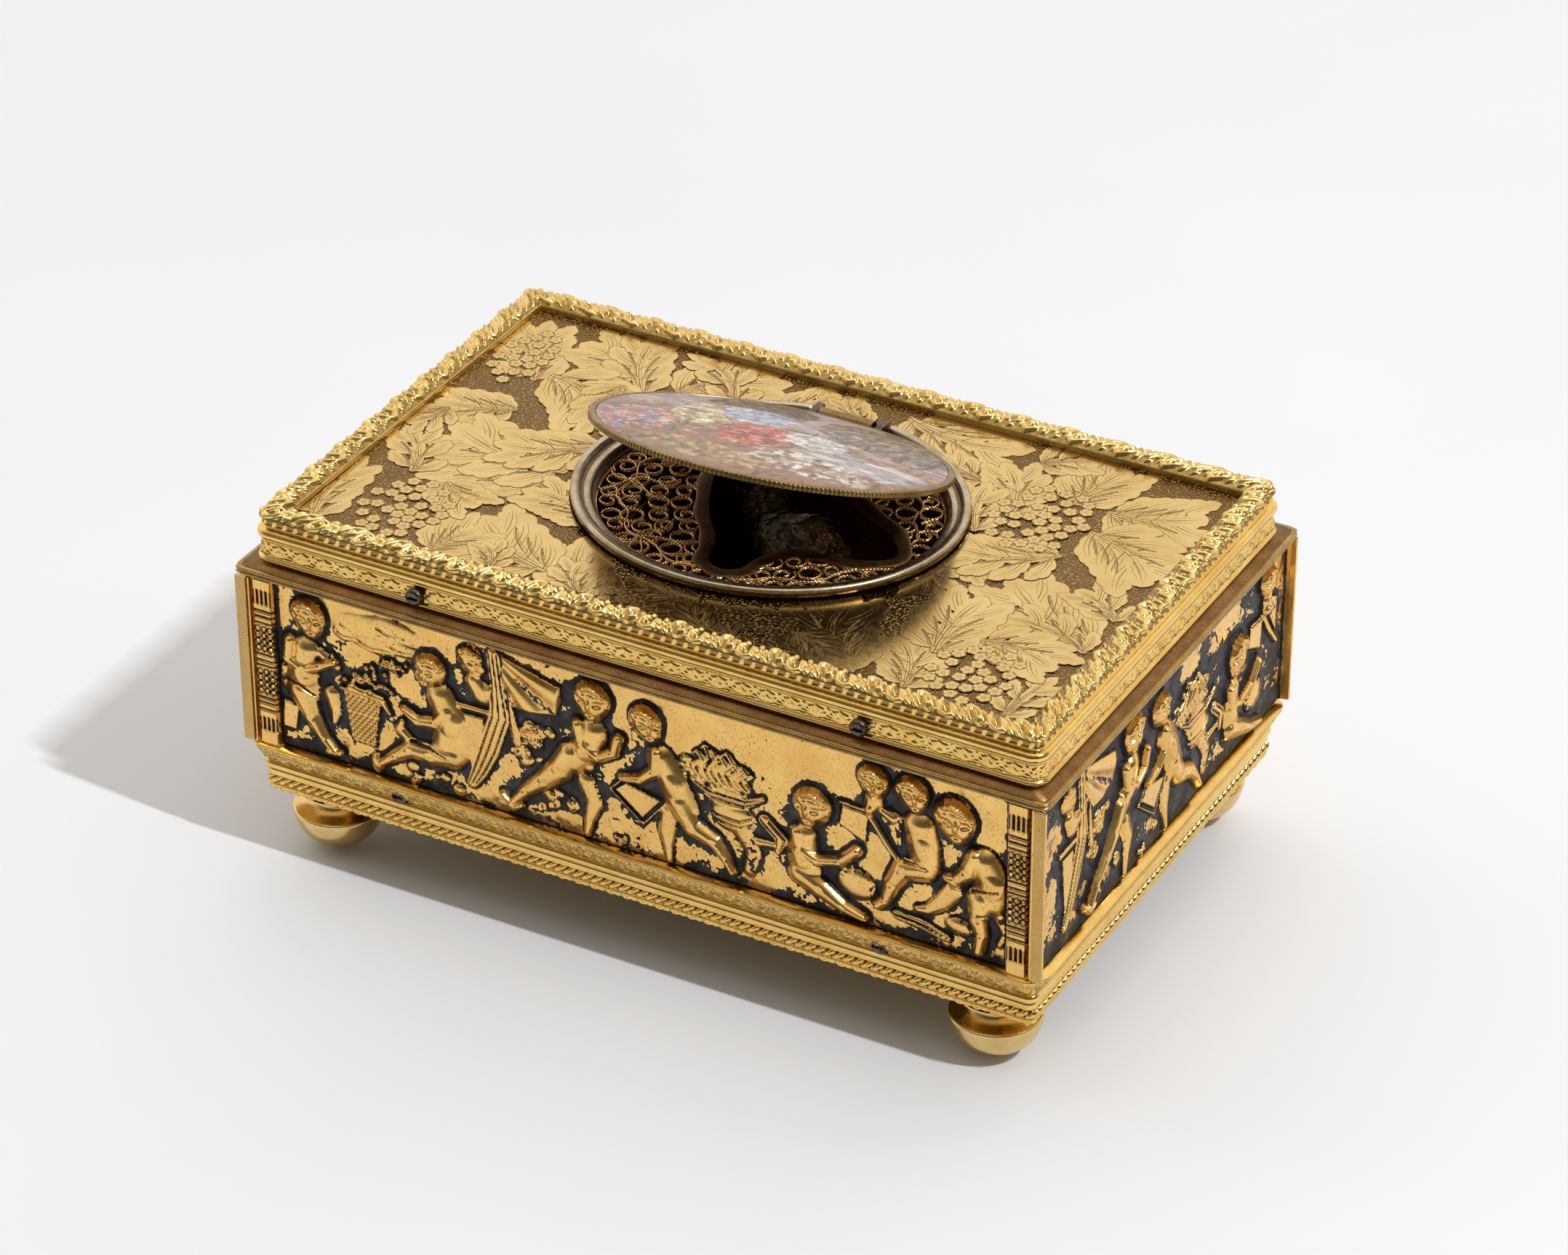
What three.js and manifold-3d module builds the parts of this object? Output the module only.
import * as THREE from "three";
import { mergeVertices } from "three/addons/utils/BufferGeometryUtils.js";
import Module from "manifold-3d";

const wasm = await Module();
wasm.setup();

// Sizes in millimetres, +Z up, floor at z = 0, front face towards -Y.

// Clearances
const gap = 0.3;
const pivotGap = 0.3;

// Case walls and relief panels, from which the flange, frames, base and movement take their size
const caseX = 49.5;
const caseY = 30.8;
const caseHeight = 21.7;
const caseWall = 1.2;
const panelThick = 1.1;
const pilasterRaise = 0.3;
const pilasterWidth = 3;
const pilasterInset = 0.5;
const panelFaceX = caseX + gap + panelThick;
const panelFaceY = caseY + gap + panelThick;

// Feet
const footInsetX = 3.9;
const footInsetY = 2;
const footRimRadius = 5.4;
const footRimZ = 5;
const footBowlBottom = 0.7;
const footNubRadius = 0.9;
const footNeckRadius = 3.1;
const footTopRadius = 4.4;

// Base moulding with its lip and inner ledge
const baseBottom = 8;
const baseHeight = 6.9;
const baseTop = baseBottom + baseHeight;
const baseLipHeight = 0.8;
const baseInnerX = caseX - 3.1;
const baseInnerY = caseY - 2.8;
const baseInnerCorner = 0.4;
const baseWall = 2.95;
const baseLipOut = 4.45;
const baseBandStep = 0.5;
const baseRopeHeight = 2.7;
const baseBeadZ = baseBottom + 3.4;
const baseBeadRadius = 0.6;
const basePalmetteZ = baseBottom + 4.1;
const bottomPlateThick = 1.3;
const baseLedgeThick = 0.9;
const baseLedgeWidth = 1.2;

// Flange under the upper frame
const flangeOverhang = 0.1;
const flangeWidth = 6;
const flangeThick = 1;
const flangeCorner = 0.9;
const flangeTop = baseTop + gap + caseHeight + gap + flangeThick;
const flangeX = panelFaceX + flangeOverhang;
const flangeY = panelFaceY + flangeOverhang;

// Upper frame and engraved plate
const openingX = caseX - 3.5;
const openingY = caseY - 3.7;
const frameHeight = 6.4;
const frameTop = flangeTop + gap + frameHeight;
const frameOut = 3.15;
const frameBeadOut = 3.5;
const frameBeadZ = frameTop - 3.2;
const frameBeadRadius = 0.6;
const plateTop = frameTop - 1.5;
const plateThick = 1;
const plateUnder = 0.5;

// Oval bezel, grille and lid
const ovalX = -0.3;
const ovalY = 0.85;
const grilleOpenA = 20.25;
const grilleOpenB = 17.75;
const bezelOut = 2.85;
const bezelTop = plateTop + 1.4;
const bezelNotchZ = plateTop - 0.05;
const bezelRebateZ = plateTop + 0.65;
const bezelLipZ = plateTop - 0.2;
const grilleThick = 0.7;
const grilleUnder = 0.75;

const lidOpenDegrees = 19;
const lidA = 21.4;
const lidB = 18.4;
const lidRimHeight = 0.8;
const lidRimWidth = 0.9;
const lidDome = 0.9;
const hingeY = 19.1;
const hingeZ = plateTop + 1.3;
const hingePinRadius = 0.3;
const knuckleRadius = 0.6 + pivotGap;
const knuckleWidth = 7;
const hingeLugThick = 0.9;

// Bird and its arm
const birdAxisX = 1.2;
const birdAxisY = -11.8;
const birdZ = plateTop - 5;
const birdBodyX = 3.7;
const birdBodyY = 1;
const birdBodyLong = 7.6;
const birdBodyDeep = 4.1;
const birdBodyWide = 3;
const birdTiltDegrees = -24;
const birdHeadX = -4.3;
const birdHeadY = 7.4;
const birdHeadRadius = 2.8;
const beakLength = 2.9;
const tailRootX = 10.6;
const tailRootY = -1.3;
const tailLength = 4.4;
const tailTurnDegrees = 2;
const wingLong = 5.6;
const wingThick = 0.45;
const birdArmRadius = 0.65;
const birdArmLength = 9.2;
const perchPinRadius = 0.4;
const perchPinHalf = 2;
const perchKnuckleRadius = 1.05;
const perchKnuckleHalf = 1.7;
const perchLugThick = 1.1;

// Bird pan
const panLeft = -14.5;
const panRight = 19.5;
const panFront = -17.2;
const panBack = 14.6;
const panWall = 0.5;
const panTop = plateTop - 2;

// Movement plates, pillars and train
const lowerPlateThick = 1.2;
const upperPlateBottom = 24;
const upperPlateThick = 1;
const movementX = caseX - caseWall - 2.3;
const movementY = caseY - caseWall - 2;
const pillarInset = 3;
const pillarRadius = 1.6;
const toothModule = 0.6;
const wheelThick = 1;
const arborRadius = 0.7;
const centreClearance = 0.1;

const barrelX = -28;
const barrelY = 0;
const barrelTeeth = 42;
const drumRadius = 11.4;
const drumTop = 20.4;
const drumWall = 0.7;
const windingRadius = 1.6;

const secondPinionTeeth = 10;
const secondAngleDegrees = -35;
const secondTeeth = 40;
const camPinionTeeth = 10;
const camAngleDegrees = 20;
const camTeeth = 40;
const flyPinionTeeth = 10;
const flyAngleDegrees = -10;
const camRadii = [6.6, 6];
const camPitch = 1.5;
const flyVaneReach = 4.2;

// Bellows, whistle, lever and start slide
const bellowsEndGap = 2.5;
const bellowsHalfX = 9.5;
const bellowsHalfY = 19;
const bellowsBoard = 1;
const bellowsRise = 5.6;
const whistleY = 22.4;
const whistleX = 2;
const whistleLength = 26;
const whistleRadius = 2.6;
const whistleBore = 1.7;
const pistonLength = 7;
const pistonDepth = 5;
const pistonRodLength = 13;
const pistonRodRadius = 0.6;
const slideZ = upperPlateBottom + 2;
const slideSlotHalf = 4.5;
const slideSlotRise = 1.1;
const slideTravel = 2.5;
const slideKnobHalf = 1.6;
const slideBackRise = 2.6;
const slideBackThick = 0.8;
const leverSide = 4;
const leverSpan = 15;
const leverWidth = 1.2;
const leverThick = 0.9;

// Screws
const screwRadius = 1.05;
const screwShank = 0.6;
const upperScrewX = 27.8;
const upperScrewZ = flangeTop + 1.75;
const lowerScrewX = 30.7;
const lowerScrewZ = baseBottom + 4.9;

// Worked out from the sizes above
const bottomPlateTop = baseBottom + bottomPlateThick;
const ledgeBottom = bottomPlateTop + gap;
const ledgeTop = ledgeBottom + baseLedgeThick;
const lowerPlateBottom = ledgeTop + gap;
const lowerPlateTop = lowerPlateBottom + lowerPlateThick;
const upperPlateTop = upperPlateBottom + upperPlateThick;
const flangeBottom = flangeTop - flangeThick;
const wallBottom = baseTop + gap;
const wallTop = flangeBottom - gap;
const grilleTop = bezelLipZ - gap;
const grilleBottom = grilleTop - grilleThick;
const lidBottom = bezelRebateZ + 0.25;

const gilt = { color: 0xc9a24a, roughness: 0.32, metalness: 0.95 };
const darkGilt = { color: 0x8a6a35, roughness: 0.5, metalness: 0.9 };
const brass = { color: 0xb08d45, roughness: 0.38, metalness: 0.9 };
const silverGilt = { color: 0xa59a80, roughness: 0.3, metalness: 0.95 };
const steel = { color: 0x5a5d62, roughness: 0.35, metalness: 0.95 };
const enamel = { color: 0xd9b8a6, roughness: 0.2, metalness: 0 };
const feather = { color: 0x2b3a22, roughness: 0.85, metalness: 0 };
const leather = { color: 0x8d6c4a, roughness: 0.8, metalness: 0 };

const assembly = new THREE.Group();
assembly.name = "musical_automaton_box";

function addPart(name, geometry, look) {
  const mesh = new THREE.Mesh(geometry, new THREE.MeshStandardMaterial(look));
  mesh.name = name;
  assembly.add(mesh);
  return mesh;
}

function radians(degrees) {
  return (degrees * Math.PI) / 180;
}

// Joining and cutting closed shapes

function toSolid(geometry) {
  const bare = geometry.clone();
  bare.deleteAttribute("normal");
  bare.deleteAttribute("uv");
  const merged = mergeVertices(bare, 1e-4);
  return new wasm.Manifold(new wasm.Mesh({
    numProp: 3,
    vertProperties: new Float32Array(merged.attributes.position.array),
    triVerts: new Uint32Array(merged.index.array),
  }));
}

function fromSolid(solid) {
  const mesh = solid.getMesh();
  const geometry = new THREE.BufferGeometry();
  geometry.setAttribute("position", new THREE.BufferAttribute(mesh.vertProperties, 3));
  geometry.setIndex(new THREE.BufferAttribute(mesh.triVerts, 1));
  geometry.computeVertexNormals();
  return geometry;
}

function join(...geometries) {
  return fromSolid(geometries.map(toSolid).reduce((sum, next) => sum.add(next)));
}

function cut(geometry, ...tools) {
  return fromSolid(tools.map(toSolid).reduce((rest, tool) => rest.subtract(tool), toSolid(geometry)));
}

// Basic forms

function box(x0, x1, y0, y1, z0, z1) {
  const geometry = new THREE.BoxGeometry(x1 - x0, y1 - y0, z1 - z0);
  return geometry.translate((x0 + x1) / 2, (y0 + y1) / 2, (z0 + z1) / 2);
}

function prism(shape, z0, z1) {
  const geometry = new THREE.ExtrudeGeometry(shape, { depth: z1 - z0, bevelEnabled: false, curveSegments: 12 });
  return geometry.translate(0, 0, z0);
}

function rod(x, y, radius, z0, z1, sides = 20) {
  const geometry = new THREE.CylinderGeometry(radius, radius, z1 - z0, sides);
  return geometry.rotateX(Math.PI / 2).translate(x, y, (z0 + z1) / 2);
}

function rodAlongX(x0, x1, y, z, radius, sides = 16) {
  const geometry = new THREE.CylinderGeometry(radius, radius, x1 - x0, sides);
  return geometry.rotateZ(Math.PI / 2).translate((x0 + x1) / 2, y, z);
}

function turned(profile, x, y, sides = 28) {
  const points = profile.map(([radius, z]) => new THREE.Vector2(radius, z));
  return new THREE.LatheGeometry(points, sides).rotateX(Math.PI / 2).translate(x, y, 0);
}

function ellipsoid(rx, ry, rz, x, y, z, turn = 0) {
  const geometry = new THREE.SphereGeometry(1, 16, 10).scale(rx, ry, rz);
  return geometry.rotateZ(turn).translate(x, y, z);
}

function arcPoints(centreOut, centreZ, radius, from, to, steps) {
  return Array.from({ length: steps + 1 }, (_, i) => {
    const angle = radians(from + ((to - from) * i) / steps);
    return [centreOut + radius * Math.cos(angle), centreZ + radius * Math.sin(angle)];
  });
}

// A plan line with outward directions, counter-clockwise

function rectLine(halfX, halfY, corner, steps = 4) {
  const line = [];
  [[1, 1, 0], [-1, 1, 90], [-1, -1, 180], [1, -1, 270]].forEach(([sx, sy, start]) => {
    for (let i = 0; i <= steps; i += 1) {
      const angle = radians(start + (90 * i) / steps);
      const nx = Math.cos(angle);
      const ny = Math.sin(angle);
      line.push({ x: sx * (halfX - corner) + corner * nx, y: sy * (halfY - corner) + corner * ny, nx, ny });
    }
  });
  return line;
}

function ovalLine(a, b, steps = 40) {
  return Array.from({ length: steps }, (_, i) => {
    const angle = (2 * Math.PI * i) / steps;
    const nx = Math.cos(angle) / a;
    const ny = Math.sin(angle) / b;
    const length = Math.hypot(nx, ny);
    return { x: a * Math.cos(angle), y: b * Math.sin(angle), nx: nx / length, ny: ny / length };
  });
}

// A closed moulding: the profile (out, z), counter-clockwise, carried round the plan line

function moulding(line, profile) {
  const positions = [];
  line.forEach((point) => profile.forEach(([out, z]) => {
    positions.push(point.x + point.nx * out, point.y + point.ny * out, z);
  }));
  const index = [];
  const count = profile.length;
  line.forEach((_, i) => profile.forEach((__, j) => {
    const nextI = (i + 1) % line.length;
    const nextJ = (j + 1) % count;
    const a = i * count + j;
    const b = nextI * count + j;
    const c = nextI * count + nextJ;
    const d = i * count + nextJ;
    index.push(a, b, d, b, c, d);
  }));
  const geometry = new THREE.BufferGeometry();
  geometry.setAttribute("position", new THREE.Float32BufferAttribute(positions, 3));
  geometry.setIndex(index);
  geometry.computeVertexNormals();
  return geometry;
}

function outline(line, out = 0) {
  return line.map((point) => new THREE.Vector2(point.x + point.nx * out, point.y + point.ny * out));
}

function rectShape(halfX, halfY, corner = 0.01) {
  return new THREE.Shape(outline(rectLine(halfX, halfY, corner, 3)));
}

function circleHole(x, y, radius, steps = 16) {
  return new THREE.Path(Array.from({ length: steps }, (_, i) => {
    const angle = (-2 * Math.PI * i) / steps;
    return new THREE.Vector2(x + radius * Math.cos(angle), y + radius * Math.sin(angle));
  }));
}

// Feet: bowl, rim and waisted neck

function addFeet() {
  const bowlHeight = footRimZ - footBowlBottom;
  const bowl = arcPoints(0, footRimZ, 1, -76, 0, 5).map(([r, z]) => [
    r * footRimRadius,
    footRimZ + (z - footRimZ) * bowlHeight,
  ]);
  const footTop = baseBottom - gap;
  const profile = [
    [0, 0],
    [footNubRadius * 0.7, 0],
    [footNubRadius, 0.35],
    ...bowl,
    [footRimRadius, footRimZ + 0.35],
    [footNeckRadius + 0.4, footRimZ + 0.7],
    [footNeckRadius, footRimZ + 1.4],
    [footNeckRadius + 0.4, footRimZ + 2.1],
    [footTopRadius, footTop - 0.25],
    [footTopRadius, footTop],
    [0, footTop],
  ];
  const footX = baseInnerX - footInsetX;
  const footY = baseInnerY - footInsetY;
  [["front_left", -1, -1], ["front_right", 1, -1], ["back_left", -1, 1], ["back_right", 1, 1]]
    .forEach(([place, sx, sy]) => {
      addPart(`foot_${place}`, turned(profile, sx * footX, sy * footY, 16), brass);
    });
}

// Screws with domed slotted heads, on the front and back mouldings

const upperScrewFace = openingY + 3.2;
const lowerScrewFace = baseInnerY + baseWall - 0.3;

function screwAt(x, z, side, face) {
  const profile = [
    [0, -2],
    [screwShank, -2],
    [screwShank, 0],
    [screwRadius, 0],
    [screwRadius, 0.25],
    [screwRadius * 0.75, 0.55],
    [0, 0.7],
  ];
  const head = turned(profile, 0, 0, 12);
  const slotted = cut(head, box(-2, 2, -0.17, 0.17, 0.3, 1));
  slotted.rotateX(Math.PI / 2);
  if (side > 0) {
    slotted.rotateZ(Math.PI);
  }
  return slotted.translate(x, side * (face + gap), z);
}


const screwPlaces = [["front", -1], ["back", 1]].flatMap(([where, side]) => [["left", -1], ["right", 1]]
  .map(([hand, sx]) => ({ name: `${where}_${hand}`, side, sx })));

function screwHoles(x, z, face) {
  return screwPlaces.map(({ side, sx }) => {
    const hole = new THREE.CylinderGeometry(screwShank + gap, screwShank + gap, 6, 14);
    return hole.translate(sx * x, side * face, z);
  });
}

function addScrews() {
  screwPlaces.forEach(({ name, side, sx }) => {
    addPart(`screw_upper_${name}`, screwAt(sx * upperScrewX, upperScrewZ, side, upperScrewFace), steel);
    addPart(`screw_lower_${name}`, screwAt(sx * lowerScrewX, lowerScrewZ, side, lowerScrewFace), steel);
  });
}

// Base moulding: rope band, polished bead, palmette band, lip and inner ledge

function addBase() {
  const lipBottom = baseTop - baseLipHeight;
  const bandIn = baseWall - baseBandStep;
  const rope = arcPoints(bandIn, baseBottom + baseRopeHeight * 0.5, 1, -90, 90, 4)
    .map(([out, z]) => [
      bandIn + (out - bandIn) * baseBandStep,
      baseBottom + baseRopeHeight * (0.5 + 0.5 * (z - baseBottom - baseRopeHeight * 0.5)),
    ]);
  const profile = [
    [0, baseBottom],
    ...rope,
    ...arcPoints(bandIn, baseBeadZ, baseBeadRadius, -80, 80, 4),
    [bandIn, basePalmetteZ],
    [(bandIn + baseWall) / 2, (basePalmetteZ + lipBottom) / 2],
    [baseWall, lipBottom],
    [baseLipOut, lipBottom],
    [baseLipOut, baseTop],
    [0, baseTop],
  ];
  const ring = moulding(rectLine(baseInnerX, baseInnerY, baseInnerCorner), profile);
  const ledge = rectShape(baseInnerX + baseBandStep, baseInnerY + baseBandStep, baseInnerCorner);
  const ledgeHole = rectLine(baseInnerX - baseLedgeWidth, baseInnerY - baseLedgeWidth, baseInnerCorner, 3);
  ledge.holes.push(new THREE.Path(outline(ledgeHole).reverse()));
  const holes = screwHoles(lowerScrewX, lowerScrewZ, lowerScrewFace);
  addPart("base_frame", cut(join(ring, prism(ledge, ledgeBottom, ledgeTop)), ...holes), gilt);

  const plate = rectShape(baseInnerX - gap, baseInnerY - gap, 0.2);
  plate.holes.push(circleHole(barrelX, barrelY, windingRadius + 0.9));
  addPart("bottom_plate", prism(plate, baseBottom, bottomPlateTop), brass);
}

// Case walls, relief panels with their corner pilasters, and the flange

function addCase() {
  const tube = rectShape(caseX, caseY, 0.2);
  tube.holes.push(new THREE.Path(outline(rectLine(caseX - caseWall, caseY - caseWall, 0.2, 3)).reverse()));
  const slot = box(-panelFaceX - panelThick, -caseX + 2 * caseWall, -slideSlotHalf, slideSlotHalf,
    slideZ - slideSlotRise, slideZ + slideSlotRise);
  addPart("case_shell", cut(prism(tube, wallBottom, wallTop), slot), brass);

  const longPlan = panelPlan(caseX, caseY + gap, panelFaceY);
  const longPanel = prism(longPlan, wallBottom, wallTop);
  addPart("back_frieze", longPanel.clone(), gilt);
  addPart("front_frieze", longPanel.clone().rotateZ(Math.PI), gilt);

  const shortPlan = panelPlan(panelFaceY, caseX + gap, panelFaceX);
  const shortPanel = prism(shortPlan, wallBottom, wallTop);
  addPart("right_frieze", shortPanel.clone().rotateZ(-Math.PI / 2), gilt);
  addPart("left_frieze", cut(shortPanel.clone().rotateZ(Math.PI / 2), slot), gilt);

  const flange = rectShape(flangeX, flangeY, flangeCorner);
  const flangeHole = rectLine(flangeX - flangeWidth, flangeY - flangeWidth, flangeCorner, 3);
  flange.holes.push(new THREE.Path(outline(flangeHole).reverse()));
  addPart("case_flange", prism(flange, flangeBottom, flangeTop), darkGilt);
}

function panelPlan(halfLength, back, face) {
  const ground = face - pilasterRaise;
  const outer = halfLength - pilasterInset;
  const inner = outer - pilasterWidth;
  return new THREE.Shape([
    [-halfLength, back],
    [halfLength, back],
    [halfLength, ground],
    [outer, ground],
    [outer, face],
    [inner, face],
    [inner, ground],
    [-inner, ground],
    [-inner, face],
    [-outer, face],
    [-outer, ground],
    [-halfLength, ground],
  ].map(([x, y]) => new THREE.Vector2(x, y)));
}

// Upper frame: palmette band, polished bead, rope band and flat border over the engraved plate

function addUpperFrame() {
  const frameBottom = flangeTop + gap;
  const plateBottom = plateTop - plateThick;
  const profile = [
    [1.6, frameBottom],
    [3.4, frameBottom],
    [3.35, frameBottom + 0.9],
    [3.05, frameBottom + 1.8],
    [2.95, frameBeadZ - frameBeadRadius - 0.05],
    ...arcPoints(frameBeadOut - frameBeadRadius, frameBeadZ, frameBeadRadius, -80, 80, 4),
    [2.9, frameBeadZ + frameBeadRadius + 0.1],
    ...arcPoints(2.7, frameTop - 1.45, 0.6, -60, 60, 4),
    [frameOut, frameTop - 0.7],
    [frameOut, frameTop],
    [0, frameTop],
    [0, plateTop + gap],
    [plateUnder + gap, plateTop + gap],
    [plateUnder + gap, plateBottom - gap],
    [-0.15, plateBottom - gap],
    [-0.15, plateBottom - gap - 0.9],
    [1.6, plateBottom - gap - 0.9],
  ];
  const ring = moulding(rectLine(openingX, openingY, 0.25), profile);
  const holes = screwHoles(upperScrewX, upperScrewZ, upperScrewFace);
  addPart("upper_frame", cut(ring, ...holes), gilt);

  const plate = rectShape(openingX + plateUnder, openingY + plateUnder, 0.2);
  const oval = ovalLine(grilleOpenA, grilleOpenB);
  const hole = outline(oval, 1.5 + gap).map((p) => p.add(new THREE.Vector2(ovalX, ovalY)));
  plate.holes.push(new THREE.Path(hole.reverse()));
  addPart("top_plate", prism(plate, plateBottom, plateTop), gilt);
}

// Oval bezel: inner lip over the grille, rebate for the lid, raised outer ring

const notchHalf = knuckleWidth / 2 + gap + hingeLugThick + gap;

function addBezel() {
  const seat = plateTop + gap;
  const profile = [
    [0, bezelLipZ],
    [1.05, bezelLipZ],
    [1.05, grilleBottom - gap],
    [1.5, grilleBottom - gap],
    [1.5, seat],
    [bezelOut, seat],
    [bezelOut, seat + 0.5],
    [bezelOut - 0.25, bezelTop - 0.1],
    [bezelOut - 0.5, bezelTop],
    [bezelOut - 0.85, bezelTop - 0.1],
    [bezelOut - 1.05, bezelRebateZ],
    [0.6, bezelRebateZ],
    [0.15, bezelRebateZ - 0.3],
  ];
  const ring = moulding(ovalLine(grilleOpenA, grilleOpenB), profile).translate(ovalX, ovalY, 0);
  const notch = box(ovalX - notchHalf, ovalX + notchHalf, ovalY + grilleOpenB - 0.4, hingeY + bezelOut + 1,
    bezelNotchZ, bezelTop + 1);
  addPart("oval_bezel", cut(ring, notch), silverGilt);
}

// Pierced grille with the bird-shaped opening

const birdOpening = [
  [1.2, -13.4], [3.2, -12.3], [4, -9], [6.6, -5.8], [13.2, -4.8], [17.1, -2.1], [14.4, 2.2], [8.6, 5.6],
  [3, 9.8], [-3, 12.1], [-8.4, 12.2], [-10.4, 8.8], [-8.8, 2.8], [-5.9, -3.2], [-2.4, -8], [-1, -12.2],
];

function addGrille() {
  const oval = ovalLine(grilleOpenA, grilleOpenB);
  const shape = new THREE.Shape(outline(oval, grilleUnder).map((p) => p.add(new THREE.Vector2(ovalX, ovalY))));
  const curve = new THREE.CatmullRomCurve3(birdOpening.map(([x, y]) => new THREE.Vector3(x, y, 0)), true);
  const edge = curve.getPoints(64).slice(0, -1).map((p) => new THREE.Vector2(p.x, p.y));
  shape.holes.push(new THREE.Path(edge.slice().reverse()));
  [[0.93, 1.35, 26], [0.75, 1.3, 20], [0.57, 1.2, 14]]
    .forEach(([ring, radius, count]) => {
      for (let i = 0; i < count; i += 1) {
        const angle = (2 * Math.PI * (i + ring * 5)) / count;
        const x = ovalX + (grilleOpenA - 1.2) * ring * Math.cos(angle);
        const y = ovalY + (grilleOpenB - 1.2) * ring * Math.sin(angle);
        if (distanceToEdge(edge, x, y) > radius + 1.6 && !insideEdge(edge, x, y)) {
          shape.holes.push(circleHole(x, y, radius, 7));
        }
      }
    });
  addPart("grille", prism(shape, grilleBottom, grilleTop), darkGilt);
}

function distanceToEdge(edge, x, y) {
  return Math.min(...edge.map((p) => Math.hypot(p.x - x, p.y - y)));
}

function insideEdge(edge, x, y) {
  return edge.reduce((inside, p, i) => {
    const q = edge[(i + 1) % edge.length];
    const crosses = p.y > y !== q.y > y && x < ((q.x - p.x) * (y - p.y)) / (q.y - p.y) + p.x;
    return crosses ? !inside : inside;
  }, false);
}

// Lid: rim, domed enamel and hinge, built shut and then opened

function openLid(geometry) {
  geometry.translate(0, -hingeY, -hingeZ);
  geometry.rotateX(-radians(lidOpenDegrees));
  return geometry.translate(0, hingeY, hingeZ);
}

function addLid() {
  const lidY = hingeY - 0.6 - lidB;
  const top = lidBottom + lidRimHeight;
  const rimLine = ovalLine(lidA - lidRimWidth, lidB - lidRimWidth);
  const rimProfile = [
    [-0.6, lidBottom],
    [lidRimWidth - 0.15, lidBottom],
    [lidRimWidth, lidBottom + 0.2],
    [lidRimWidth, top - 0.2],
    [lidRimWidth - 0.3, top],
    [0.1, top],
    [0.1, lidBottom + 0.3],
    [-0.6, lidBottom + 0.3],
  ];
  const rim = moulding(rimLine, rimProfile).translate(ovalX, lidY, 0);
  const knuckleX0 = ovalX - knuckleWidth / 2;
  const knuckleX1 = ovalX + knuckleWidth / 2;
  const tab = box(knuckleX0, knuckleX1, lidY + lidB - 0.85, hingeY, lidBottom, top);
  const barrel = rodAlongX(knuckleX0, knuckleX1, hingeY, hingeZ, knuckleRadius, 16);
  const bore = rodAlongX(knuckleX0 - 1, knuckleX1 + 1, hingeY, hingeZ, hingePinRadius + pivotGap, 12);
  addPart("lid_rim", openLid(cut(join(rim, tab, barrel), bore)), brass);

  const rings = 5;
  const dome = [[0, lidBottom + 0.6]];
  dome.push([1, lidBottom + 0.6]);
  for (let i = 0; i <= rings; i += 1) {
    const r = 1 - i / rings;
    dome.push([r, top - 0.05 + lidDome * (1 - r * r)]);
  }
  const cap = turned(dome, 0, 0, 40);
  cap.scale(lidA - lidRimWidth - 0.2, lidB - lidRimWidth - 0.2, 1);
  addPart("lid_enamel", openLid(cap.translate(ovalX, lidY, 0)), enamel);

  addPart("hinge_pin", rodAlongX(knuckleX0, knuckleX1, hingeY, hingeZ, hingePinRadius, 12), steel);
}

function addHingeMount() {
  const base = plateTop + gap;
  const lugIn = knuckleWidth / 2 + gap;
  const lugOut = lugIn + hingeLugThick;
  const lugBack = hingeY + 1.8;
  const strip = box(ovalX - lugOut, ovalX + lugOut, lugBack - 0.6, lugBack, base, base + 0.7);
  const lugs = [-1, 1].map((side) => {
    const x0 = ovalX + Math.min(side * lugIn, side * lugOut);
    return box(x0, x0 + hingeLugThick, hingeY - 0.7, lugBack, base, hingeZ + 0.4);
  });
  addPart("hinge_mount", join(strip, ...lugs), steel);
}

// Bird, lying on its side in the opening and turning up on the perch pin

const birdTurn = radians(birdTiltDegrees);
const alongBird = [Math.cos(birdTurn), Math.sin(birdTurn)];
const backOfBird = [-Math.sin(birdTurn), Math.cos(birdTurn)];

function birdBodyForm(extra) {
  const half = [birdBodyLong + extra, birdBodyDeep + extra, birdBodyWide + extra];
  return ellipsoid(...half, birdBodyX, birdBodyY, birdZ, birdTurn);
}

function headForm(extra) {
  const r = birdHeadRadius + extra;
  return ellipsoid(r, r, r * 0.95, birdHeadX, birdHeadY, birdZ);
}

function beakForm(side) {
  const turn = radians(166);
  const tipX = birdHeadX + Math.cos(turn) * (birdHeadRadius + beakLength - 0.6);
  const tipY = birdHeadY + Math.sin(turn) * (birdHeadRadius + beakLength - 0.6);
  const rootX = birdHeadX + Math.cos(turn) * (birdHeadRadius - 0.7);
  const rootY = birdHeadY + Math.sin(turn) * (birdHeadRadius - 0.7);
  const acrossX = -Math.sin(turn) * side;
  const acrossY = Math.cos(turn) * side;
  const thick = 0.75;
  const flat = new THREE.Shape([
    new THREE.Vector2(rootX + acrossX * 0.16, rootY + acrossY * 0.16),
    new THREE.Vector2(tipX + acrossX * 0.16, tipY + acrossY * 0.16),
    new THREE.Vector2(rootX + acrossX * (0.16 + thick), rootY + acrossY * (0.16 + thick)),
  ].reverse());
  return prism(flat, birdZ - 0.55, birdZ + 0.55);
}

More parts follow.
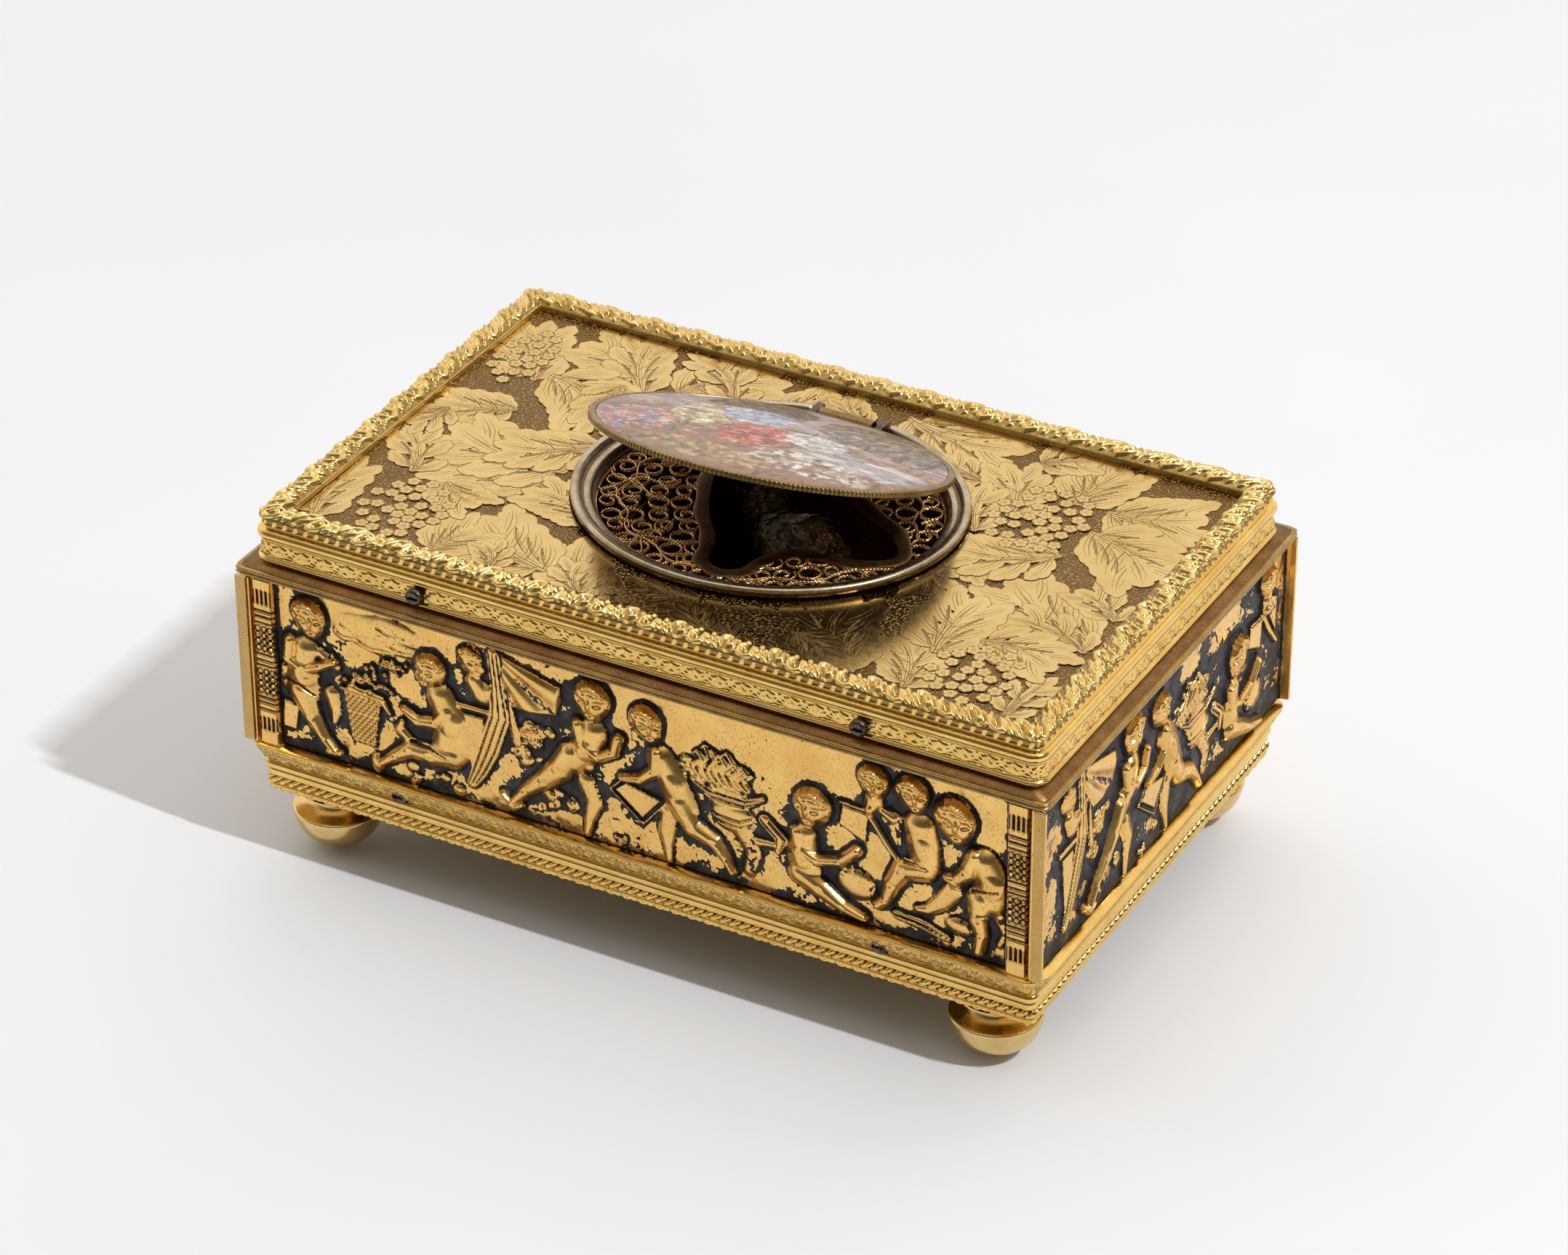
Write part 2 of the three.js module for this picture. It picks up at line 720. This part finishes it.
function wingForm(side) {
  const half = [wingLong, birdBodyDeep * 0.68, birdBodyWide + 2 * wingThick];
  const shell = ellipsoid(...half, birdBodyX + 0.8, birdBodyY, birdZ, birdTurn);
  const reach = birdBodyLong + birdBodyX + wingLong;
  const keep = side > 0 ? [birdZ - birdBodyLong, birdZ + 1.4] : [birdZ - 1.4, birdZ + birdBodyLong];
  const away = box(-reach, reach, -reach, reach, keep[0], keep[1]);
  return cut(shell, birdBodyForm(gap), headForm(gap + 0.3), away);
}

function tailForm() {
  const rootHalf = 0.9;
  const tipHalf = 1.9;
  const fan = new THREE.Shape([
    new THREE.Vector2(0, -rootHalf),
    new THREE.Vector2(tailLength, -tipHalf),
    new THREE.Vector2(tailLength + 0.7, 0),
    new THREE.Vector2(tailLength, tipHalf),
    new THREE.Vector2(0, rootHalf),
  ]);
  const geometry = prism(fan, -wingThick, wingThick);
  geometry.rotateX(Math.PI / 2);
  return geometry.rotateZ(radians(tailTurnDegrees)).translate(tailRootX, tailRootY, birdZ);
}

function addBird() {
  addPart("bird_body", cut(birdBodyForm(0), headForm(gap)), feather);
  const upperBeak = beakForm(-1);
  addPart("bird_head", join(headForm(0), upperBeak), feather);
  addPart("bird_beak_lower", cut(beakForm(1), headForm(gap)), steel);
  addPart("bird_wing_left", wingForm(1), feather);
  addPart("bird_wing_right", wingForm(-1), feather);
  addPart("bird_tail", cut(tailForm(), birdBodyForm(gap)), feather);

  const alongPin = (half, radius, sides) => (
    rodAlongX(birdAxisX - half, birdAxisX + half, birdAxisY, birdZ, radius, sides));
  const knuckle = alongPin(perchKnuckleHalf, perchKnuckleRadius, 18);
  const bore = alongPin(perchPinHalf * 2, perchPinRadius + pivotGap, 14);
  const stem = new THREE.CylinderGeometry(birdArmRadius, birdArmRadius, birdArmLength, 12)
    .translate(birdAxisX + 0.3, birdAxisY + 0.7 + birdArmLength / 2, birdZ);
  addPart("bird_arm", cut(join(knuckle, stem), birdBodyForm(gap), bore), steel);
  addPart("perch_pin", alongPin(perchPinHalf, perchPinRadius, 14), steel);
  const lugIn = perchPinHalf + gap;
  const lugOut = lugIn + perchLugThick;
  const lugs = [-1, 1].map((side) => {
    const x0 = birdAxisX + Math.min(side * lugIn, side * lugOut);
    return box(x0, x0 + perchLugThick, birdAxisY - 3, birdAxisY + 1, birdZ - 1, birdZ + 1);
  });
  const blockFront = panFront + panWall + gap;
  const block = box(birdAxisX - lugOut, birdAxisX + lugOut, blockFront, birdAxisY - 1.6, birdZ - 1.4, birdZ + 1);
  addPart("perch_bracket", join(block, ...lugs), brass);
}

// Pan that keeps the bird clear of the movement

function addPan() {
  const floor = upperPlateTop + gap;
  const outer = box(panLeft, panRight, panFront, panBack, floor, panTop);
  const inner = box(panLeft + panWall, panRight - panWall, panFront + panWall, panBack - panWall,
    floor + panWall, panTop + 1);
  addPart("bird_pan", cut(outer, inner), darkGilt);
}

// Going train

function gearShape(teeth, phase, bore, rootShare, tipShare) {
  const pitchRadius = (teeth * toothModule) / 2;
  const tip = pitchRadius + 0.9 * toothModule;
  const root = pitchRadius - 1.3 * toothModule;
  const step = (2 * Math.PI) / teeth;
  const points = [];
  for (let i = 0; i < teeth; i += 1) {
    const middle = phase + i * step;
    [[root, -rootShare], [tip, -tipShare], [tip, tipShare], [root, rootShare]].forEach(([radius, share]) => {
      const angle = middle + share * step;
      points.push(new THREE.Vector2(radius * Math.cos(angle), radius * Math.sin(angle)));
    });
  }
  const shape = new THREE.Shape(points);
  if (bore > 0) {
    shape.holes.push(circleHole(0, 0, bore));
  }
  return shape;
}

function wheelShape(teeth, phase, bore) {
  return gearShape(teeth, phase, bore, 0.24, 0.12);
}

function pinionShape(teeth, phase) {
  return gearShape(teeth, phase, 0, 0.22, 0.11);
}

function spokeHoles(shape, radius, holeRadius, count) {
  for (let i = 0; i < count; i += 1) {
    const angle = (2 * Math.PI * i) / count;
    shape.holes.push(circleHole(radius * Math.cos(angle), radius * Math.sin(angle), holeRadius, 8));
  }
  return shape;
}

function nextCentre(x, y, teethA, teethB, degrees) {
  const distance = ((teethA + teethB) * toothModule) / 2 + centreClearance;
  return [x + distance * Math.cos(radians(degrees)), y + distance * Math.sin(radians(degrees))];
}

function meshedPhase(teeth, degrees) {
  return radians(degrees + 180) + Math.PI / teeth;
}

const [secondX, secondY] = nextCentre(barrelX, barrelY, barrelTeeth, secondPinionTeeth, secondAngleDegrees);
const [camX, camY] = nextCentre(secondX, secondY, secondTeeth, camPinionTeeth, camAngleDegrees);
const [flyX, flyY] = nextCentre(camX, camY, camTeeth, flyPinionTeeth, flyAngleDegrees);
const trainBottom = lowerPlateTop + gap;
const arborBottom = lowerPlateBottom + 0.2;
const arborTop = upperPlateTop - 0.2;

function arborWith(x, y, ...pieces) {
  return join(rod(0, 0, arborRadius, arborBottom, arborTop, 14), ...pieces).translate(x, y, 0);
}

function addBarrel() {
  const wheelTop = trainBottom + wheelThick;
  const rim = wheelShape(barrelTeeth, radians(secondAngleDegrees), windingRadius + pivotGap);
  const teeth = prism(rim, trainBottom, wheelTop);
  const drum = turned([
    [windingRadius + pivotGap, wheelTop - 0.2],
    [drumRadius, wheelTop - 0.2],
    [drumRadius, drumTop],
    [drumRadius - drumWall, drumTop],
    [drumRadius - drumWall, wheelTop + 0.5],
    [windingRadius + pivotGap, wheelTop + 0.5],
    [windingRadius + pivotGap, wheelTop - 0.2],
  ], 0, 0, 30);
  addPart("going_barrel", join(teeth, drum).translate(barrelX, barrelY, 0), brass);
  const cover = new THREE.Shape(outline(ovalLine(drumRadius, drumRadius, 30)));
  cover.holes.push(circleHole(0, 0, windingRadius + pivotGap));
  addPart("barrel_cover", prism(cover, drumTop + gap, drumTop + 1).translate(barrelX, barrelY, 0), brass);
  const arbor = rod(0, 0, windingRadius, bottomPlateTop + gap, upperPlateTop - 0.2, 20);
  const square = new THREE.Shape(outline(rectLine(1, 1, 0.2, 1)));
  const winding = join(arbor, prism(square, baseBottom + 0.3, bottomPlateTop + 1));
  addPart("winding_arbor", winding.translate(barrelX, barrelY, 0), steel);
  addPart("mainspring", springCoil(wheelTop + 0.5 + gap, drumTop - gap).translate(barrelX, barrelY, 0), steel);
}

function springCoil(z0, z1) {
  const turns = 4;
  const steps = turns * 20;
  const from = windingRadius + 1.2;
  const to = drumRadius - drumWall - gap - 0.35;
  const side = (offset) => Array.from({ length: steps + 1 }, (_, i) => {
    const radius = from + ((to - from) * i) / steps + offset;
    const angle = (2 * Math.PI * turns * i) / steps;
    return new THREE.Vector2(radius * Math.cos(angle), radius * Math.sin(angle));
  });
  return prism(new THREE.Shape([...side(0.35), ...side(0).reverse()]), z0, z1);
}

function addTrain() {
  const secondZ = drumTop + 1.5;
  const secondPhase = meshedPhase(secondPinionTeeth, secondAngleDegrees);
  const pinionTop = trainBottom + wheelThick + 0.3;
  const secondPinion = prism(pinionShape(secondPinionTeeth, secondPhase), trainBottom, pinionTop);
  const secondRim = spokeHoles(wheelShape(secondTeeth, radians(camAngleDegrees), 0), 7, 2.4, 5);
  const secondWheel = prism(secondRim, secondZ, secondZ + 0.8);
  addPart("second_wheel", arborWith(secondX, secondY, secondPinion, secondWheel), brass);

  const camPinion = prism(pinionShape(camPinionTeeth, meshedPhase(camPinionTeeth, camAngleDegrees)),
    secondZ - 0.2, secondZ + 1);
  const camWheelZ = trainBottom + wheelThick + 0.9;
  const camWheel = spokeHoles(wheelShape(camTeeth, radians(flyAngleDegrees), 0), 7, 2.4, 5);
  addPart("cam_wheel", arborWith(camX, camY, camPinion, prism(camWheel, camWheelZ, camWheelZ + 0.8)), brass);

  camRadii.forEach((radius, i) => {
    const z = camWheelZ + 1.3 + i * camPitch;
    const shape = new THREE.Shape(Array.from({ length: 60 }, (_, k) => {
      const angle = (2 * Math.PI * k) / 60;
      const lift = 0.55 * Math.sin((i + 4) * angle) + 0.35 * Math.cos((7 - i) * angle);
      return new THREE.Vector2((radius + lift) * Math.cos(angle), (radius + lift) * Math.sin(angle));
    }));
    shape.holes.push(circleHole(0, 0, arborRadius + gap, 12));
    addPart(`song_cam_${i + 1}`, prism(shape, z, z + 0.9).translate(camX, camY, 0), brass);
  });

  const flyPinion = prism(pinionShape(flyPinionTeeth, meshedPhase(flyPinionTeeth, flyAngleDegrees)),
    camWheelZ - 0.3, camWheelZ + 1.1);
  const vane = box(-flyVaneReach, flyVaneReach, -0.3, 0.3, camWheelZ + 2.2, upperPlateBottom - 1);
  addPart("fly_governor", arborWith(flyX, flyY, flyPinion, vane), brass);
}

function pivotHoles(shape) {
  [[secondX, secondY], [camX, camY], [flyX, flyY]].forEach(([x, y]) => {
    shape.holes.push(circleHole(x, y, arborRadius + pivotGap));
  });
  shape.holes.push(circleHole(leverX, leverY, arborRadius + pivotGap));
  shape.holes.push(circleHole(barrelX, barrelY, windingRadius + pivotGap));
  return shape;
}

// Plates and pillars that carry the movement

function addPlates() {
  const lower = pivotHoles(rectShape(movementX, movementY, 0.5));
  addPart("lower_plate", prism(lower, lowerPlateBottom, lowerPlateTop), brass);
  const upper = pivotHoles(rectShape(movementX, movementY, 0.5));
  addPart("upper_plate", prism(upper, upperPlateBottom, upperPlateTop), brass);
  const foot = lowerPlateTop + gap;
  const head = upperPlateBottom - gap;
  const profile = [
    [0, foot],
    [pillarRadius, foot],
    [pillarRadius, foot + 1],
    [pillarRadius * 0.65, foot + 1.8],
    [pillarRadius * 0.65, head - 1.8],
    [pillarRadius, head - 1],
    [pillarRadius, head],
    [0, head],
  ];
  const pillarX = movementX - pillarInset;
  const pillarY = movementY - pillarInset;
  [["front_left", -1, -1], ["front_right", 1, -1], ["back_left", -1, 1], ["back_right", 1, 1]]
    .forEach(([place, sx, sy]) => {
      addPart(`pillar_${place}`, turned(profile, sx * pillarX, sy * pillarY, 14), brass);
    });
}

// Song lever, whose tip follows the top cam

const leverX = camX + leverSide;
const leverY = camY + leverSpan;
const leverZ = lowerPlateTop + gap + wheelThick + 0.9 + 1.3 + camPitch;
const leverReach = 1.6;

function addLever() {
  const tipY = camY + camRadii[1] + leverReach;
  const arm = box(camX, leverX, tipY - 0.1, tipY - 0.1 + leverWidth, leverZ, leverZ + leverThick);
  const link = box(leverX - leverWidth / 2, leverX + leverWidth / 2, tipY, leverY, leverZ, leverZ + leverThick);
  const arbor = rod(leverX, leverY, arborRadius, arborBottom, arborTop, 14);
  addPart("song_lever", join(arm, link, arbor), steel);
}

// Bellows and whistle

function addBellows() {
  const base = lowerPlateTop + gap;
  const boardTop = base + bellowsBoard;
  const topBoard = boardTop + bellowsRise;
  const bellowsX = movementX - bellowsEndGap - bellowsHalfX;
  const x0 = bellowsX - bellowsHalfX;
  const x1 = bellowsX + bellowsHalfX;
  addPart("bellows_base", box(x0, x1, -bellowsHalfY, bellowsHalfY, base, boardTop), brass);
  addPart("bellows_board", box(x0, x1, -bellowsHalfY, bellowsHalfY, topBoard, topBoard + bellowsBoard), brass);
  const folds = 3;
  const foldBottom = boardTop + 0.2;
  const foldStep = (bellowsRise - 0.4) / (folds * 2);
  const edge = (inset) => Array.from({ length: folds * 2 + 1 }, (_, i) => [
    (i % 2 === 0 ? -0.4 : -2) - inset,
    foldBottom + i * foldStep,
  ]);
  const profile = [...edge(0), ...edge(0.45).reverse()];
  const line = rectLine(bellowsHalfX, bellowsHalfY, 3, 3);
  addPart("bellows_folds", moulding(line, profile).translate(bellowsX, 0, 0), leather);
}

function addWhistle() {
  const z = lowerPlateTop + gap + whistleRadius;
  const x0 = whistleX - whistleLength / 2;
  const x1 = whistleX + whistleLength / 2;
  const tube = rodAlongX(x0, x1, whistleY, z, whistleRadius, 24);
  const bore = rodAlongX(x0 - 1, x1 - 1.2, whistleY, z, whistleBore, 20);
  const mouth = box(x1 - 4.4, x1 - 2.8, whistleY - 1.2, whistleY + 1.2, z + 0.8, z + 4);
  addPart("whistle_tube", cut(tube, bore, mouth), brass);
  const pistonX = x0 + pistonDepth;
  const piston = rodAlongX(pistonX, pistonX + pistonLength, whistleY, z, whistleBore - gap, 20);
  const rodPiece = rodAlongX(pistonX + 1 - pistonRodLength, pistonX + 1, whistleY, z, pistonRodRadius, 12);
  addPart("whistle_piston", join(piston, rodPiece), steel);
}

// Start slide, flush in its slot in the left end

function addStartSlide() {
  const inside = -caseX + caseWall + gap;
  const knobRise = slideSlotRise - gap;
  const knob = box(-panelFaceX + 0.2, inside + slideBackThick, -slideKnobHalf, slideKnobHalf,
    slideZ - knobRise, slideZ + knobRise);
  const backHalf = slideSlotHalf + slideTravel + 0.4;
  const back = box(inside, inside + slideBackThick, -backHalf, backHalf,
    slideZ - slideBackRise, slideZ + slideBackRise);
  addPart("start_slide", join(knob, back), steel);
}

addFeet();
addScrews();
addBase();
addCase();
addUpperFrame();
addBezel();
addGrille();
addLid();
addHingeMount();
addBird();
addPan();
addPlates();
addBarrel();
addTrain();
addLever();
addBellows();
addWhistle();
addStartSlide();

export default assembly;
